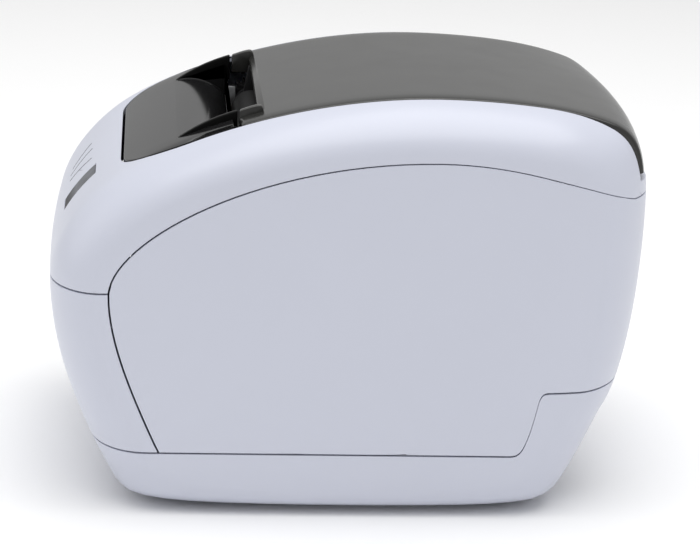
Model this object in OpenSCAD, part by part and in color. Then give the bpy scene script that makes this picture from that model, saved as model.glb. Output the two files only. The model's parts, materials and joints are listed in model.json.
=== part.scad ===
// Desktop thermal label printer: casing, lid, print mechanism, gear train, media bin and electronics.
// Frame: +Z up, front towards -Y, width along X, origin under the middle of the casing at the feet.

/* [Casing] */
// Overall length, front to rear
body_len = 224; // [218:1:230]
// Overall width
body_w = 176; // [172:1:180]
// Height of the highest point of the lid
body_h = 154.8; // [154:0.2:156]
// Height of the shell's underside above the table
underside = 2.5; // [2:0.5:3]
// Wall of the moulded shells
wall = 2.4; // [2:0.1:3]
// Width of the rounded shoulder, across the casing
shoulder_w = 28; // [26:1:30]
// Depth of the rounded shoulder
shoulder_d = 18; // [16:1:20]
// Gap left at each seam between shells
seam = 0.4; // [0.3:0.1:0.6]
// Height of the seam round the lower front
base_split = 24.2; // [23:0.2:25]
// Height of the base's seam round the rear
rear_split = 48.8; // [48:0.2:50]
// Height of the seam between upper and lower front
front_split = 84.3; // [83:0.1:85]

/* [Lid] */
// Width of the lid
lid_w = 134; // [133:0.5:135]
// Thickness of the lid's skin
lid_t = 2.6; // [2:0.1:3]
// Front edge of the lid
lid_front = -35; // [-36:0.5:-34]
// Hinge axis, distance behind the origin
hinge_y = 101; // [100.5:0.1:101.5]
// Hinge axis height
hinge_z = 135; // [134.5:0.1:135.5]
// Hinge pin radius
hinge_pin_r = 2; // [1.5:0.1:2.2]

/* [Print mechanism] */
// Radius of the platen roller
platen_r = 8; // [7.5:0.1:8]
// Length of the rubber on the platen
platen_len = 86; // [80:1:88]
// Platen axis, distance behind the origin
platen_y = -34.5; // [-35:0.1:-34]
// Platen axis height
platen_z = 126; // [125.5:0.1:126.5]
// Radius of the platen's steel shaft
shaft_r = 3; // [2.5:0.1:3]
// Radial clearance of every running fit
run_fit = 0.06; // [0.03:0.01:0.09]
// Module of the spur gears
gear_mod = 0.8; // [0.8:0.1:0.8]
// Teeth on the platen gear
platen_teeth = 20; // [20:1:20]
// Teeth on the small idler gear
idler_small = 16; // [16:1:16]
// Teeth on the large idler gear
idler_large = 46; // [46:1:46]
// Teeth on the motor pinion
motor_teeth = 14; // [14:1:14]
// Backlash taken off each tooth flank
backlash = 0.08; // [0.06:0.01:0.12]

/* [Media bin] */
// Radius of the bin round the label roll
bin_r = 56; // [54:1:58]
// Roll axis, distance behind the origin
roll_y = 28; // [27:1:29]
// Roll axis height
roll_z = 84; // [83:1:85]
// Half of the media width that the guides stand at
guide_half = 41; // [40:0.5:42]
// Module of the centring rack and pinion
rack_mod = 1; // [1:0.1:1]
// Teeth on the centring pinion
rack_teeth = 16; // [16:1:16]

/* [Controls] */
// Width of the feed button
button_w = 15; // [14:0.5:16]
// Length of the feed button along the slope
button_len = 18; // [17:0.5:19]
// Place of the feed button across the casing
button_x = 26; // [25:0.5:27]
// Travel of the feed button
button_travel = 1.2; // [1:0.1:1.4]

/* [Hidden] */
$fn = 48;
half_w = body_w / 2;
front_y = -body_len / 2;
rear_y = body_len / 2;
curve_n = 8;
tiny = 0.01;

// ---------- curves ----------
function bez(a, b, c, d, n = curve_n) =
  [for (i = [0:n]) let (t = i / n, u = 1 - t) u*u*u*a + 3*u*u*t*b + 3*u*t*t*c + t*t*t*d];
function rev(p) = [for (i = [len(p) - 1:-1:0]) p[i]];
function unit(v) = v / norm(v);
function tangent(p, i) = unit(p[min(i + 1, len(p) - 1)] - p[max(i - 1, 0)]);
// Points moved to the right-hand side of a path that runs from front to rear, so into the body
function inset(p, d) = [for (i = [0:len(p) - 1]) let (t = tangent(p, i)) p[i] + d * [t[1], -t[0]]];
function height_at(p, y) = lookup(y, p);

nose = [front_y, front_split];
brow = [-85.5, 124.2];
crown = [30, body_h];
tail = [99, 146.2];
back = [rear_y, 118];
foot_rear = [98.5, 36];
toe = [-84, underside];
nose_curve = bez(nose, [front_y, 100], [-99, 115.4], brow);
top_curve = bez(brow, [-61, 139.8], [-15, body_h], crown);
lid_top = bez(crown, [56, body_h], [84, 151.5], tail);
lid_back = bez(tail, [107, 142.8], [rear_y - 0.6, 138], back);
back_curve = bez(back, [rear_y, 85], [108, 48], foot_rear);
toe_curve = bez(toe, [-99, 27], [front_y, 55], nose);
upper_line = concat(nose_curve, top_curve, lid_top, lid_back);

// ---------- casing blanks ----------
// The side profile drawn in by d, as wide as 2 x
module slice(x, d, profile) across(2 * x) offset(delta = -d) polygon(profile);
// The rounded casing, drawn in by w all round
module blank(w = 0) {
  profile = concat(nose_curve, top_curve, lid_top, lid_back, back_curve, [[94, 10], [90, -14], [-80, -14]],
    toe_curve);
  intersection() {
    hull() for (a = [0:18:90])
      slice(half_w - w - shoulder_w * (1 - sin(a)), w + shoulder_d * (1 - cos(a)), profile);
    translate([0, 0, underside + w]) linear_extrude(200) plan(w);
    rotate([90, 0, 0]) linear_extrude(400, center = true) keel(w);
  }
}
// Plan of the casing: the rear tapers in a wide curve
module plan(w) {
  side = half_w - w;
  tail_half = bez([side, 70], [side, 92], [76, 103], [44, rear_y - w], 6);
  polygon(concat([[side, front_y + w]], tail_half, [for (p = rev(tail_half)) [-p[0], p[1]]],
    [[-side, front_y + w]]));
}
// Cross-section of the lower edge, with a rounded bottom corner
module keel(w) {
  side = half_w - w;
  low = underside + w;
  polygon([[side, 200], [side, low + 12], [side - 2, low + 5], [side - 8, low],
    [8 - side, low], [2 - side, low + 5], [-side, low + 12], [-side, 200]]);
}
module across(w = 2 * body_w) rotate([90, 0, 90]) linear_extrude(w, center = true) children();

// ---------- seams ----------
arc_front = bez([-89, front_split], [-88, 104], [-36, 134.6], [30, 134.6]);
arc_rear = bez([30, 134.6], [60, 134.6], [84, 125.5], [103, 119.6], 6);
arc_line = concat(arc_front, arc_rear);
door_line = bez([-89, front_split], [-89, 66], [-79, 44], [-70, base_split + seam], 6);
ramp_line = concat([[60, base_split]], bez([63, base_split + 1], [65, 29], [66, 32], [66.7, 34], 3),
  [[69.2, 45], [70.2, 47.6], [72, rear_split]]);
far = 150;
module region_base() polygon(concat([[-far, -20], [-far, base_split]], ramp_line,
  [[far, rear_split], [far, -20]]));
module region_front() polygon(concat([[-far, base_split + seam], [-far, front_split]], door_line));
module region_top() polygon(concat([[-far, 300], [-far, front_split + seam], [-89, front_split + seam]],
  [for (p = arc_line) p + [0, seam]], [[far, 119.6 + seam], [far, 300]]));
module region_body() polygon(concat(arc_line, [[far, 119.6], [far, rear_split + seam]],
  [for (p = rev(ramp_line)) p + [0, seam]], [for (p = rev(door_line)) p + [seam, 0]]));

// Opening that the front panel and the lid fill, seen from above
open_half = lid_w / 2 + seam;
opening_nose = -85;
module opening_plan() {
  corner = bez([open_half, -60], [open_half, -75], [59, opening_nose], [42, opening_nose], 6);
  polygon(concat([[open_half, far]], corner, [for (p = rev(corner)) [-p[0], p[1]]],
    [[-open_half, far]]));
}

module base_housing() color("#d9dae2") {
  difference() {
    intersection() { blank(); across() region_base(); }
    blank(wall);
    // cable bay at the rear, with the sockets' wall at its end
    translate([-bay_half, bay_y, -10]) cube([2 * bay_half, 80, 44]);
    for (p = foot_places) translate([p[0], p[1], 0]) cylinder(h = 3.4, r = foot_r + 0.1);
  }
  difference() {
    translate([-bay_half - wall, bay_y - wall, underside + tiny])
      cube([2 * (bay_half + wall), wall, 34 - underside]);
    translate([usb_x - 6.3, 0, 10.8]) cube([12.6, far, 11.6]);
    translate([dc_x, 0, dc_z]) rotate([-90, 0, 0]) cylinder(h = far, r = 4.2);
    translate([rocker_x - 10, 0, 11]) cube([20, far, 14]);
  }
  // posts for the main board and for the print mechanism
  for (p = board_posts) translate([p[0], p[1], underside + 1]) cylinder(h = board_z - underside - 1, r = 3);
  for (p = mech_posts) translate([p[0], p[1], underside + 1])
    cylinder(h = mech_floor - underside - 2.6, r = 2.4);
}
bay_half = 62;
bay_y = 76;
foot_r = 7;
foot_places = [for (x = [-60, 60], y = [-62, 46]) [x, y]];
board_posts = [for (x = [-54, 54], y = [-34, 58]) [x, y]];
mech_posts = [for (x = [-62.5, 62.5], y = [-60, -31]) [x, y]];
mech_floor = 72;
usb_x = -14;
dc_x = 16;
dc_z = 16;
rocker_x = 42;

module body_housing() color("#d5d7e3") difference() {
  intersection() { blank(); across() region_body(); }
  blank(wall);
}

module front_cover() color("#d7d8e2") difference() {
  intersection() { blank(); across() region_front(); }
  blank(wall);
}

// Frame of the sloping control face: its origin on the outer skin, its +Z out of it
face_at = [0, -101.6, 109.7];
face_tilt = 50;
module on_face() translate(face_at) rotate([face_tilt, 0, 0]) children();

module top_housing() color("#ececf0") difference() {
  intersection() { blank(); across() region_top(); }
  blank(wall);
  translate([0, 0, 100]) linear_extrude(100) intersection() {
    opening_plan();
    translate([-far, -far]) square([2 * far, far + 70]);
  }
  translate([-open_half, 60, rear_wall_top]) cube([2 * open_half, far, 60]);
  on_face() {
    translate([button_x, 0, 0]) cube([button_w + 0.8, button_len + 0.8, 14], center = true);
    for (p = led_places) translate([p[0], 0, 0]) rotate(p[1]) cube([0.9, led_len + 0.4, 14], center = true);
  }
}
rear_wall_top = 124.4;
led_len = 13.6;
led_places = [[-24, 36], [-13.5, 18], [-0.5, -18]];

module front_panel() color("#1d1d1f") {
  difference() {
    intersection() {
      across() polygon(concat(panel_line, rev(inset(panel_line, panel_t))));
      translate([0, 0, 90]) linear_extrude(90) offset(delta = -seam) opening_plan();
      translate([-far, -far, 90]) cube([2 * far, far + slot_front, 90]);
    }
    across(2 * trough_half)
      polygon([roll_line[0] + [0.5, -8], roll_line[0], [-64, 160], [-40, 160], [-40, 120]]);
  }
  // trough that rolls down into the exit slot, with its side walls
  across(2 * trough_half) polygon(concat(roll_line, rev(inset(roll_line, 1.6))));
  for (s = [-1, 1]) translate([s * (trough_half - 0.8), 0, 0]) across(1.6)
    polygon(concat(panel_rear, [[slot_front, 134]], rev(inset(roll_line, 1.6))));
  for (s = [-1, 1]) translate([s * (trough_half + 1.5), 0, 0]) across(3) polygon(fin_front);
}
panel_t = 2.4;
trough_half = 52;
slot_front = -44.6;
panel_line = concat([[-85.6, 124.1]], [for (p = top_curve) if (p[0] > -84 && p[0] < slot_front) p],
  [[slot_front, height_at(top_curve, slot_front)]]);
panel_rear = [for (p = panel_line) if (p[0] > -64) p];
roll_line = bez([-65, height_at(top_curve, -65)], [-58, 138.6], [-51, 135.6], [slot_front, 130], 7);
fin_end = -43;
fin_front = concat([[-65.4, height_at(top_curve, -65.4) - 0.6]],
  bez([-62, height_at(top_curve, -62) + 0.4], [-56, 141], [-50, 143.6], [fin_end, 145.8], 4),
  [[fin_end, 136], [-56, 134]]);

module tear_bar() color("#8d8f91") across(2 * trough_half - 1)
  polygon([[-44.4, 127.4], [-44.4, 130.4], [-43.3, 131.4], [-43.3, 130.4], [-43.8, 129.8], [-43.8, 127.4]]);

lid_line = concat([[lid_front, height_at(top_curve, lid_front)]],
  [for (p = top_curve) if (p[0] > lid_front + 1) p], [for (i = [1:curve_n]) lid_top[i]],
  [for (i = [1:6]) lid_back[i]]);

// Plan of the lid: its rear edge bulges in the middle
module lid_plan(d) {
  rear = bez([lid_w / 2 + 1, 106 - d], [50, 109.5 - d], [28, 111.2 - d], [0, 111.4 - d], 6);
  polygon(concat([[lid_w / 2 + 1, -60]], rear, [for (p = rev(rear)) [-p[0], p[1]]],
    [[-lid_w / 2 - 1, -60]]));
}
lid_low = 127;
module lid_cover() color("#4a4a48") {
  difference() {
    intersection() {
      across(lid_w) polygon(concat(lid_line, [[rear_y, lid_low], [lid_front, lid_low]]));
      linear_extrude(200) lid_plan(0);
    }
    intersection() {
      across(lid_w + 1) polygon(concat([[lid_front - 1, lid_low - 1]], [lid_inner[0] - [2, 0.6]], lid_inner,
        [[rear_y, lid_low - 1]]));
      linear_extrude(200) lid_plan(1.8);
    }
  }
  for (s = [-1, 1]) translate([s * (trough_half + 1.5), 0, 0]) across(3)
    polygon([[lobe_front, 138.6], [lobe_front, 145.8], [-34.6, 148], [-33.4, 145.2],
      [lid_front, 143.2], [lid_front, 138.6]]);
  // lobes that reach forward past the exit slot on both sides
  for (s = [-1, 1]) translate([s * (lobe_in + lid_w / 2) / 2, 0, 0]) across(lid_w / 2 - lobe_in)
    polygon(concat(lobe_line, rev(inset(lobe_line, lid_t))));
}
lobe_front = -42.2;
lobe_in = trough_half + 2.9;
lobe_line = [for (y = [lobe_front, -40, -37.5, lid_front + 0.2]) [y, height_at(top_curve, y)]];
lid_inner = inset(lid_line, lid_t);

arm_in = 46;
arm_out = 50;
arm_hinge = 56.5;
rail_line = [for (p = inset(lid_line, lid_t)) if (p[0] < 92) p];
module lid_frame() color("#2a2a2c") difference() {
  union() {
    for (s = [-1, 1]) {
      // side rail and hinge arm
      translate([s * arm_hinge, 0, 0]) across(5) {
        polygon(concat(rail_line, rev(inset(rail_line, 7))));
        translate([hinge_y, hinge_z]) circle(r = eye_r);
        polygon([[90, 145.4], [88, 137.6], [hinge_y, hinge_z - eye_r], [hinge_y, hinge_z + eye_r]]);
      }
      // arm that carries the platen
      translate([s * (arm_in + arm_out) / 2, 0, 0]) across(arm_out - arm_in) {
        translate([platen_y, platen_z]) circle(r = 6);
        polygon([[platen_y - 4, platen_z], [platen_y - 1, 142.4], [-22, 142], [-22, 136],
          [platen_y + 5, platen_z]]);
      }
    }
    // cross plates under the skin
    across(108) polygon([[-31, 141.8], [-20, 144.6], [-20, 142.6], [-31, 139.8]]);
    across(108) polygon(concat([for (p = rail_line) if (p[0] > 20 && p[0] < 76) p],
      rev(inset([for (p = rail_line) if (p[0] > 20 && p[0] < 76) p], 1.8))));
  }
  rotate([0, 90, 0]) translate([-platen_z, platen_y, 0])
    cylinder(h = 200, r = shaft_r + run_fit, center = true);
  rotate([0, 90, 0]) translate([-hinge_z, hinge_y, 0])
    cylinder(h = 200, r = hinge_pin_r + run_fit, center = true);
}

ear_in = 49.4;
ear_out = 53.4;
eye_r = 4;
module hinge_brackets() color("#2a2a2c") for (s = [-1, 1]) translate([s * (ear_in + ear_out) / 2, 0, 0])
  difference() {
    across(ear_out - ear_in) {
      translate([hinge_y, hinge_z]) circle(r = eye_r);
      polygon([[hinge_y, hinge_z + eye_r], [81, hinge_z + 2], [81, 100], [87.6, 100], [87.6, hinge_z - 5],
        [hinge_y - 2.4, hinge_z - 3.2]]);
    }
    rotate([0, 90, 0]) translate([-hinge_z, hinge_y, 0]) cylinder(h = 20, r = hinge_pin_r, center = true);
  }

module hinge_pins() color("#a9abad") for (s = [-1, 1])
  translate([s * (arm_hinge - 1.8), hinge_y, hinge_z]) rotate([0, 90, 0])
    cylinder(h = 10.6, r = hinge_pin_r, center = true);

module feed_button() color("#8a8c8e") on_face() translate([button_x, 0, 0]) {
  translate([0, 0, -0.9]) cube([button_w, button_len, 2.4], center = true);
  translate([0, 0, -4.6]) cube([5, 5, 5], center = true);
}

module light_pipes() color("#4c4e58") on_face() for (p = led_places)
  translate([p[0], 0, -1.1]) rotate(p[1]) cube([0.7, led_len, 2.4], center = true);

module key_board() color("#2f6b3c") on_face() {
  translate([0, 0, -11.6]) cube([76, 20, 1.6], center = true);
  translate([button_x, 0, -9.9]) cube([6, 6, 1.8], center = true);
  for (p = led_places) translate([p[0], 0, -10.3]) cube([3, 3, 1], center = true);
}

// ---------- print mechanism ----------
side_in = 58;
side_out = 60;
pivot_y = -53;
pivot_z = 109;
idler_y = platen_y;
idler_z = platen_z - gear_mod * (platen_teeth + idler_small) / 2;
motor_dist = gear_mod * (idler_large + motor_teeth) / 2;
motor_turn = 18.2;
motor_y = idler_y - motor_dist * sin(motor_turn);
motor_z = idler_z - motor_dist * cos(motor_turn);
motor_r = 15;

module side_plate(s) translate([s * (side_in + side_out) / 2, 0, 0]) difference() {
  across(side_out - side_in) difference() {
    polygon([[-66, mech_floor], [-66, 124], [-58, 132], [-22, 132], [-22, mech_floor]]);
    // open slot that the platen bush drops into
    translate([platen_y, platen_z]) circle(r = bush_r + 0.4);
    polygon([[platen_y - bush_r - 0.4, platen_z], [platen_y - bush_r - 0.8, 140],
      [platen_y + bush_r + 3, 140], [platen_y + bush_r + 0.4, platen_z]]);
  }
  rotate([0, 90, 0]) translate([-pivot_z, pivot_y, 0]) cylinder(h = 9, r = 1.5, center = true);
  if (s < 0) {
    rotate([0, 90, 0]) translate([-idler_z, idler_y, 0]) cylinder(h = 9, r = 2, center = true);
    rotate([0, 90, 0]) translate([-motor_z, motor_y, 0]) cylinder(h = 9, r = 4, center = true);
  }
}
module side_plate_left() color("#b4b6b8") side_plate(-1);
module side_plate_right() color("#b4b6b8") side_plate(1);
module mechanism_frame() color("#b4b6b8") {
  // spring wall, floor and label guide
  across(2 * side_in) polygon([[-66, mech_floor], [-66, 124], [-64.5, 124], [-64.5, mech_floor]]);
  across(2 * side_out) polygon([[-66, mech_floor - 1.6], [-66, mech_floor], [-22, mech_floor],
    [-22, mech_floor - 1.6]]);
  across(2 * side_in) polygon([[-22, mech_floor], [-22, 100], [-30, 112], [-31.6, 112], [-24, 100],
    [-24, mech_floor]]);
  for (p = mech_posts) translate([p[0], p[1], mech_floor - 0.8]) cube([5, 8, 1.6], center = true);
}

module head_bracket() color("#9fa2a5") {
  across(104) polygon([[-50.6, 113], [-50.6, 125.6], [-49.1, 125.6], [-49.1, 113]]);
  for (s = [-1, 1]) translate([s * 51, 0, 0]) across(2) difference() {
    polygon([[-56, 106], [-56, 112], [-50.6, 118], [-49.1, 118], [-49.1, 107], [-52, 106]]);
    translate([pivot_y, pivot_z]) circle(r = 1.5 + run_fit);
  }
}

module head_heatsink() color("#c3c6c8") difference() {
  translate([-47, -49.1, 112]) cube([94, 4.4, 14.6]);
  for (x = [-36:8:36]) translate([x - 1.5, -49.2, 114]) cube([3, 2.2, 8]);
}

module print_head() color("#5a4436") {
  translate([-45, -44.7, 118]) cube([90, 1, 8.8]);
  translate([-43, -43.7, 124.6]) cube([86, 0.4, 1.6]);
  translate([-30, -44.7, 112.5]) cube([60, 2.4, 5]);
}

module head_pivot_shaft() color("#b9bcbe") translate([0, pivot_y, pivot_z]) rotate([0, 90, 0])
  cylinder(h = 2 * side_out, r = 1.5, center = true);

module head_springs() color("#8f9295") for (s = [-1, 1]) translate([s * 28, -50.6, 121])
  rotate([90, 0, 0]) spring_coil(3, 0.5, 13.9, 6);

// Round-wire spring as stacked rings
module spring_coil(r, wire, len, turns) {
  for (i = [0:turns]) translate([0, 0, wire + i * (len - 2 * wire) / turns])
    rotate_extrude($fn = 32) translate([r, 0]) circle(r = wire, $fn = 16);
  for (a = [0, 180]) rotate(a) translate([r, 0, wire])
    cylinder(h = len - 2 * wire, r = wire * 0.5, $fn = 16);
}

bush_r = 5;
module platen_roller() color("#26282a") translate([0, platen_y, platen_z]) rotate([0, 90, 0]) difference() {
  cylinder(h = platen_len, r = platen_r, center = true, $fn = 96);
  cylinder(h = platen_len + 2, r = shaft_r, center = true);
}
shaft_left = -66.2;
gear_x = -66;
shaft_right = 62;
module platen_shaft() color("#c0c3c5") translate([shaft_left, platen_y, platen_z]) rotate([0, 90, 0])
  cylinder(h = shaft_right - shaft_left, r = shaft_r);
module platen_bushes() color("#e8e4d8") for (s = [-1, 1]) translate([s * 55.6, platen_y, platen_z])
  rotate([0, s * 90, 0]) difference() {
    union() {
      translate([0, 0, -5.6]) cylinder(h = 10, r = bush_r);
      translate([0, 0, -1.5]) cylinder(h = 2, r = 6.2);
    }
    cylinder(h = 30, r = shaft_r + run_fit, center = true);
  }

// ---------- gears ----------
function involute(rb, a) = rb * [cos(a) + a * PI / 180 * sin(a), sin(a) - a * PI / 180 * cos(a)];
function turn(p, a) = [p[0] * cos(a) - p[1] * sin(a), p[0] * sin(a) + p[1] * cos(a)];
function roll_angle(rb, r) = r <= rb ? 0 : sqrt(r * r / (rb * rb) - 1) * 180 / PI;
pressure = 20;
// One flank from root to tip, with the tooth centred on +X
function flank(teeth, m, side) = let (
    rp = m * teeth / 2, rb = rp * cos(pressure), ra = rp + m, rr = rp - 1.25 * m,
    half = 90 / teeth - backlash / rp * 90 / PI * 2 / 2,
    shift = half + (tan(pressure) * 180 / PI - pressure),
    low = max(rb, rr))
  concat([turn([rr, 0], side * min(shift, 180 / teeth - 0.2))],
    [for (k = [0:4]) let (r = low + (ra - low) * k / 4, p = involute(rb, roll_angle(rb, r)))
      turn([p[0], -side * p[1]], side * shift)]);
module spur(teeth, m, h) linear_extrude(h) polygon([for (i = [0:teeth - 1])
  each [for (p = concat(flank(teeth, m, -1), rev(flank(teeth, m, 1)))) turn(p, i * 360 / teeth)]]);

module platen_gear() color("#3a3a3c") translate([gear_x, platen_y, platen_z]) rotate([0, 90, 0])
  difference() {
    rotate(gear_phase_platen) spur(platen_teeth, gear_mod, 5.6);
    translate([0, 0, -1]) cylinder(h = 10, r = shaft_r);
  }
// Seen along the gears' axis, the direction from one centre to the next sets each gear's phase
gear_phase_platen = 0;
gear_phase_idler = 180 / idler_small;
module idler_gear() color("#e9e7df") translate([gear_x, idler_y, idler_z]) rotate([0, 90, 0]) difference() {
  union() {
    rotate(180 + gear_phase_idler) spur(idler_small, gear_mod, 5.8);
    translate([0, 0, -6]) rotate(-motor_turn) spur(idler_large, gear_mod, 4.2);
    translate([0, 0, -1.9]) cylinder(h = 2, r = 5);
  }
  translate([0, 0, -10]) cylinder(h = 30, r = 2 + run_fit);
}
module idler_pin() color("#b9bcbe") translate([gear_x - 7.4, idler_y, idler_z]) rotate([0, 90, 0]) {
  cylinder(h = 7.4 - gear_x - side_in, r = 2);
  translate([0, 0, -0.6]) cylinder(h = 0.9, r = 3.2);
}
module stepper_motor() color("#8b8e90") translate([-side_in, motor_y, motor_z]) rotate([0, 90, 0]) {
  difference() {
    cylinder(h = 20, r = motor_r);
    translate([0, 0, -1]) cylinder(h = 4, r = 3.2);
  }
  translate([motor_r - 1, 0, 12]) cube([4, 12, 12], center = true);
}
module motor_pinion() color("#d8c27a") translate([gear_x - 6, motor_y, motor_z]) rotate([0, 90, 0]) {
  rotate(180 - motor_turn + 180 / motor_teeth) spur(motor_teeth, gear_mod, 4.4);
  cylinder(h = 6 - gear_x - side_in + 1, r = 1.5);
}

// ---------- media bin ----------
tray_half = 66;
tray_floor = 21;
tray_rear = 88;
tray_line = concat([[-26.8, 69]],
  [for (a = [202:8:254]) [roll_y, roll_z] + (bin_r + 2) * [cos(a), sin(a)]],
  [[roll_y - 15, tray_floor + 2], [roll_y + 15, tray_floor + 2]],
  [for (a = [286:8:350]) [roll_y, roll_z] + (bin_r + 2) * [cos(a), sin(a)]], [[tray_rear, 100]]);
module media_tray() color("#3a3b3e") {
  across(2 * tray_half - 4) polygon(concat(tray_line, rev(inset(tray_line, 2))));
  for (s = [-1, 1]) translate([s * (tray_half - 1), 0, 0]) across(2)
    polygon(concat(inset(tray_line, 2), [[tray_rear + 2, 112], [74, 112], [60, 100], [10, 92], [-20, 92]]));
  translate([0, roll_y, tray_floor + 1]) cylinder(h = 5, r = 2.5);
}
rack_z = tray_floor + 2.4;
rack_pitch = rack_mod * rack_teeth / 2;
module rack_cover() color("#3a3b3e") difference() {
  translate([-60, roll_y - 15, rack_z + 3.6]) cube([120, 30, 1.6]);
  for (s = [-1, 1]) translate([s > 0 ? 8 : -59, roll_y + s * 12 - 2.2, 20]) cube([51, 4.4, 20]);
  translate([0, roll_y, 20]) cylinder(h = 20, r = 2.6);
}
module centring_pinion() color("#e9e7df") translate([0, roll_y, rack_z]) difference() {
  spur(rack_teeth, rack_mod, 3);
  translate([0, 0, -1]) cylinder(h = 6, r = 2.5 + run_fit);
}
// Rack with its teeth towards +Y, its first gap centred at x = 0 and its pitch line at y = 0
module rack(n) {
  pitch = PI * rack_mod;
  half = pitch / 4 - backlash;
  slope = tan(pressure) * rack_mod;
  linear_extrude(3) polygon(concat([[0, -3.6]], [for (i = [0:n - 1]) let (x = (i + 0.5) * pitch)
    each [[x - half - slope * 1.25, -1.25 * rack_mod], [x - half + slope, rack_mod],
      [x + half - slope, rack_mod], [x + half + slope * 1.25, -1.25 * rack_mod]]], [[n * pitch, -3.6]]));
}
rack_n = 21;
module guide() {
  translate([-guide_half, 0, 0]) {
    difference() {
      translate([-3, 0, 0]) rotate([90, 0, 90]) linear_extrude(3) {
        polygon([[roll_y - 20, 31], [roll_y - 26, 74], [roll_y - 16, 98], [roll_y + 16, 98],
          [roll_y + 26, 74], [roll_y + 20, 31]]);
        translate([roll_y, 92]) circle(r = 17);
      }
    }
    translate([-tiny, roll_y, roll_z + 4]) rotate([0, 90, 0]) {
      cylinder(h = 5, r = 12);
      translate([0, 0, 5]) rotate_extrude() polygon([[0, 0], [12, 0], [10, 3], [0, 3]]);
    }
    translate([-3, roll_y - 14, rack_z]) cube([3, 4, 9]);
  }
}
tooth_gap = PI * rack_mod;
rack_start = -guide_half + (guide_half / tooth_gap - floor(guide_half / tooth_gap)) * tooth_gap;
module guide_left() color("#54565a") {
  guide();
  translate([rack_start, roll_y - rack_pitch, rack_z]) rack(rack_n);
  translate([-guide_half - 3, roll_y - 14, rack_z]) cube([rack_start + guide_half + 3 + tiny, 3.6, 3]);
}
module guide_right() color("#54565a") translate([0, 2 * roll_y, 0]) rotate(180) guide_left();

module gap_sensor() color("#202124") translate([-6, -29, 88]) cube([12, 5, 9]);
module lid_switch() color("#202124") translate([56, -8, 96]) difference() {
  cube([7, 12, 8]);
  translate([-1, 3, 5]) cube([9, 2, 4]);
}

// ---------- electronics ----------
board_z = 8;
module main_board() color("#2f6b3c") {
  translate([-60, -40, board_z]) cube([120, 104, 1.6]);
  translate([-20, -10, board_z + 1.6]) cube([18, 18, 1.6]);
  translate([10, -30, board_z + 1.6]) cube([10, 14, 1.4]);
  for (x = [-44, -32, 38, 50]) translate([x, -28, board_z + 1.6]) cylinder(h = 9, r = 4);
  translate([-52, 4, board_z + 1.6]) cube([6, 24, 7]);
  translate([18, -38, board_z + 1.6]) cube([28, 5, 4]);
}
module usb_socket() color("#c9cbcd") translate([usb_x - 6, 58, board_z + 1.6]) difference() {
  translate([0, 0, 1.4]) cube([12, 17.4, 11]);
  translate([1.7, 8, 3]) cube([8.6, 20, 7.8]);
}
module dc_jack() color("#1c1d1f") translate([dc_x, 0, 0]) {
  difference() {
    translate([-4.5, 61, board_z + 1.6]) cube([9, 12, 11.4]);
    translate([0, 64, dc_z]) rotate([-90, 0, 0]) cylinder(h = 20, r = 3.1);
  }
  difference() {
    translate([0, 73, dc_z]) rotate([-90, 0, 0]) cylinder(h = 3, r = 4.1);
    translate([0, 72, dc_z]) rotate([-90, 0, 0]) cylinder(h = 20, r = 3.1);
  }
}
rocker_z = 18;
module power_switch() color("#1c1d1f") difference() {
  union() {
    translate([rocker_x - 9.7, 60, rocker_z - 6.7]) cube([19.4, 16, 13.4]);
    translate([rocker_x - 11, bay_y, rocker_z - 8]) cube([22, 1.6, 16]);
  }
  translate([rocker_x - 8, 66, rocker_z - 5.4]) cube([16, 20, 10.8]);
}
module power_rocker() color("#303236") translate([rocker_x, bay_y - 1.4, rocker_z]) {
  linear_extrude(10.2, center = true) polygon([[-7.4, -3], [-7.4, 1.6], [0, 0.6], [7.4, 1.6], [7.4, -3]]);
  cylinder(h = 10.6, r = 1.2, center = true);
}

module rubber_feet() color("#2b2c2e") for (p = foot_places) translate([p[0], p[1], 0])
  cylinder(h = 3.3, r = foot_r);
module screw(h, r, head_r, head_h) {
  cylinder(h = head_h, r = head_r);
  translate([0, 0, head_h - tiny]) cylinder(h = h, r = r);
}
module base_screws() color("#9a9da0") for (x = [-70, 70], y = [-70, 40])
  translate([x, y, underside + wall]) screw(10, 1.4, 2.8, 1.8);
module board_screws() color("#9a9da0") for (p = board_posts)
  translate([p[0], p[1], board_z + 1.6]) cylinder(h = 1.6, r = 2.6);
module mechanism_screws() color("#9a9da0") for (p = mech_posts)
  translate([p[0], p[1], mech_floor]) cylinder(h = 1.6, r = 2.2);

base_housing();
body_housing();
front_cover();
top_housing();
front_panel();
tear_bar();
lid_cover();
lid_frame();
hinge_brackets();
hinge_pins();
feed_button();
light_pipes();
key_board();
side_plate_left();
side_plate_right();
mechanism_frame();
head_bracket();
head_heatsink();
print_head();
head_pivot_shaft();
head_springs();
platen_roller();
platen_shaft();
platen_bushes();
platen_gear();
idler_gear();
idler_pin();
stepper_motor();
motor_pinion();
media_tray();
rack_cover();
guide_left();
guide_right();
centring_pinion();
gap_sensor();
lid_switch();
main_board();
usb_socket();
dc_jack();
power_switch();
power_rocker();
rubber_feet();
base_screws();
board_screws();
mechanism_screws();
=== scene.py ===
"""Desktop label printer: shells, lid, print mechanism, finishes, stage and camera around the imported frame."""

import json
import math

import bmesh
import bpy
from mathutils import Matrix, Vector


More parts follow.
